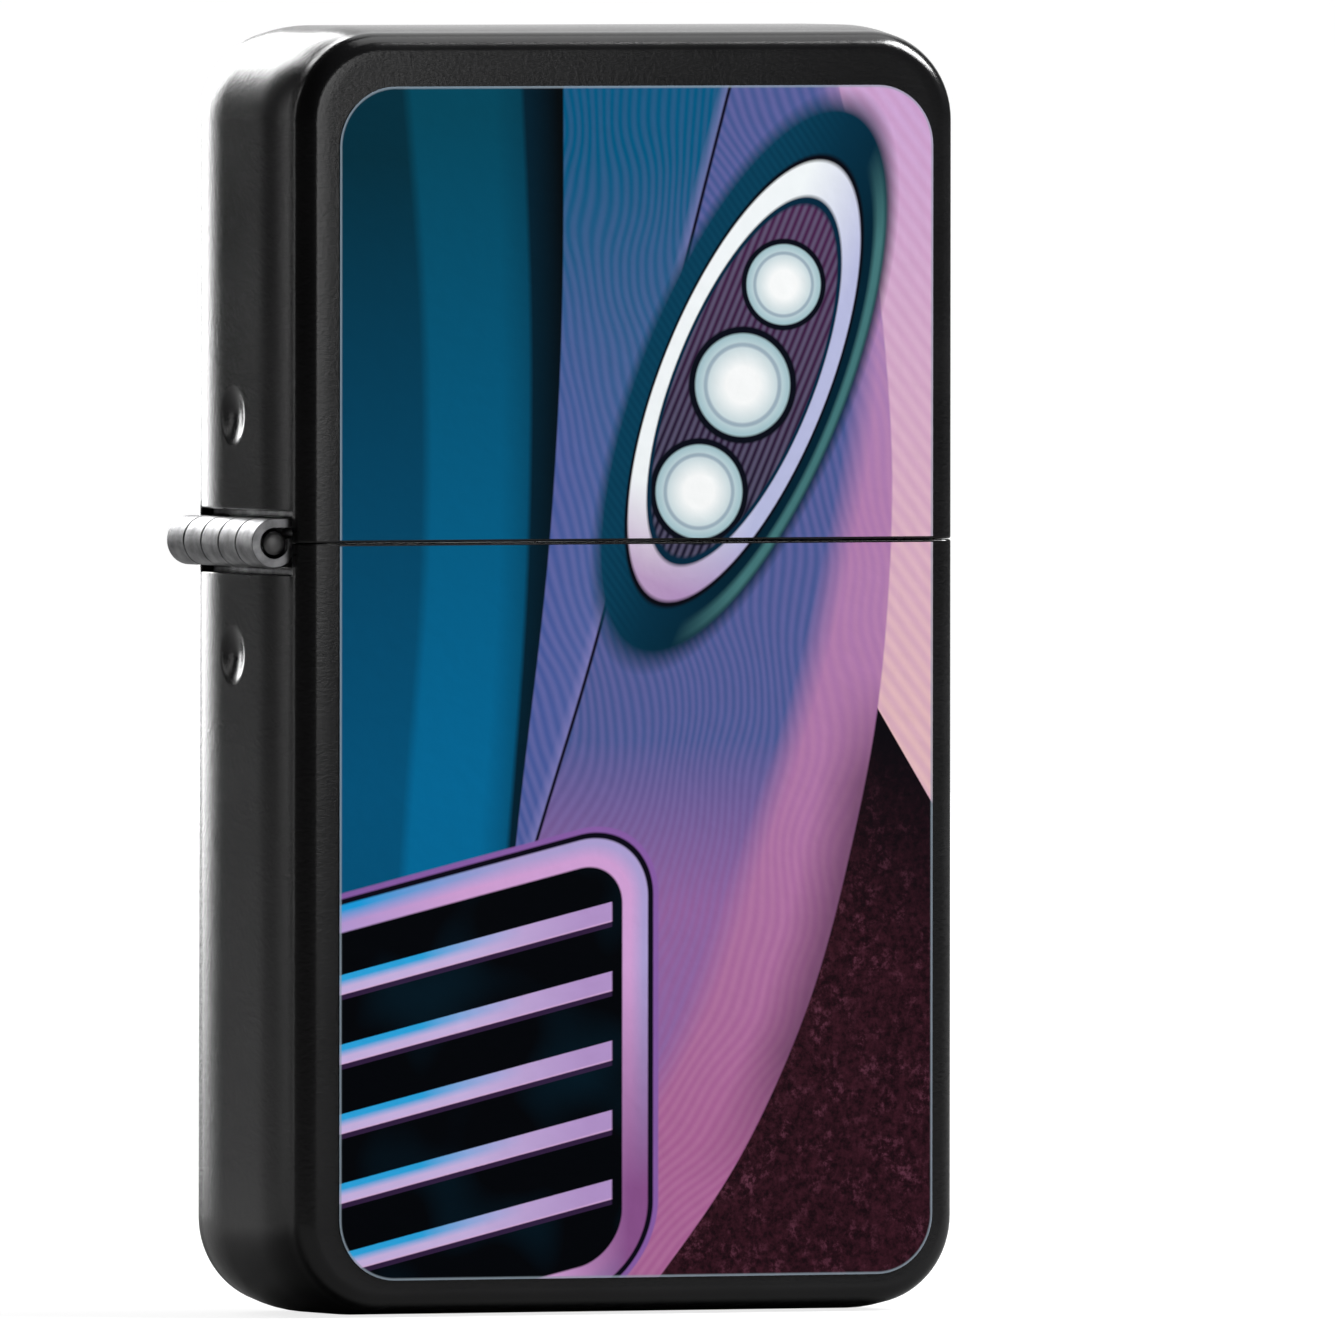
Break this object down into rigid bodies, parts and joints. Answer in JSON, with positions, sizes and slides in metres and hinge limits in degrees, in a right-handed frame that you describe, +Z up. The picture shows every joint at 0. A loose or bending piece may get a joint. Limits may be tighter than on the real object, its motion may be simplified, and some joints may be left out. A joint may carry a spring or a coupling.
{
  "type": "flip-top petrol lighter",
  "caption": "Slim metal petrol lighter with a hinged flip-top lid, a printed front and a lift-out wick and flint insert.",
  "frame": {"origin": "middle of the case's flat base, on the surface that it stands on", "axes": "+Z up, the printed front faces -Y, the hinge is on the -X side"},
  "size_m": [0.034, 0.0121, 0.057],
  "materials": {
    "black_paint": "satin black powder paint",
    "print": "full-colour printed film, satin gloss",
    "steel": "brushed stainless sheet",
    "dark_steel": "hardened dark steel",
    "brass": "turned, bright",
    "cotton": "soft cotton",
    "wick": "braided cotton cord with metal threads",
    "felt": "pressed felt",
    "flint": "matt grey"
  },
  "bodies": {
    "case": {"bottom_shell": "black_paint", "hinge_body_leaf": "black_paint", "hinge_pin": "dark_steel", "body_print": "print"},
    "lid": {"lid_shell": "black_paint", "hinge_lid_leaf": "black_paint", "lid_print": "print"},
    "insert": {"insert_tank": "steel", "chimney": "steel", "wheel_axle": "steel", "cam_rivet": "steel", "cam_spring": "steel", "cam_spring_rivet": "steel", "flint_tube": "brass", "flint": "flint", "spring_tip": "brass", "flint_spring": "steel", "wick": "wick", "felt_pad": "felt", "cotton_pad_1": "cotton", "cotton_pad_2": "cotton", "cotton_pad_3": "cotton", "cotton_pad_4": "cotton"},
    "wheel": {"flint_wheel": "dark_steel"},
    "cam": {"cam_lever": "steel"},
    "screw": {"flint_screw": "brass"}
  },
  "joints": [
    {"name": "lid_hinge", "type": "hinge", "parent": "case", "child": "lid", "pos_m": [-0.01665, 0, 0.0342], "axis": [0, -1, 0], "range_deg": [0, 115]},
    {"name": "insert_lift", "type": "slide", "parent": "case", "child": "insert", "axis": [0, 0, 1], "range_m": [0, 0.0065]},
    {"name": "wheel_spin", "type": "hinge", "parent": "insert", "child": "wheel", "pos_m": [0.0085, 0, 0.0412], "axis": [0, 1, 0], "continuous": true},
    {"name": "cam_pivot", "type": "hinge", "parent": "insert", "child": "cam", "pos_m": [-0.0105, 0, 0.0377], "axis": [0, 1, 0], "range_deg": [0, 12], "stiffness_Nm_per_rad": 0.002, "springref_deg": -5.73},
    {"name": "flint_screw_turn", "type": "hinge", "parent": "insert", "child": "screw", "pos_m": [0.0085, 0, 0.0015], "axis": [0, 0, 1], "continuous": true}
  ]
}
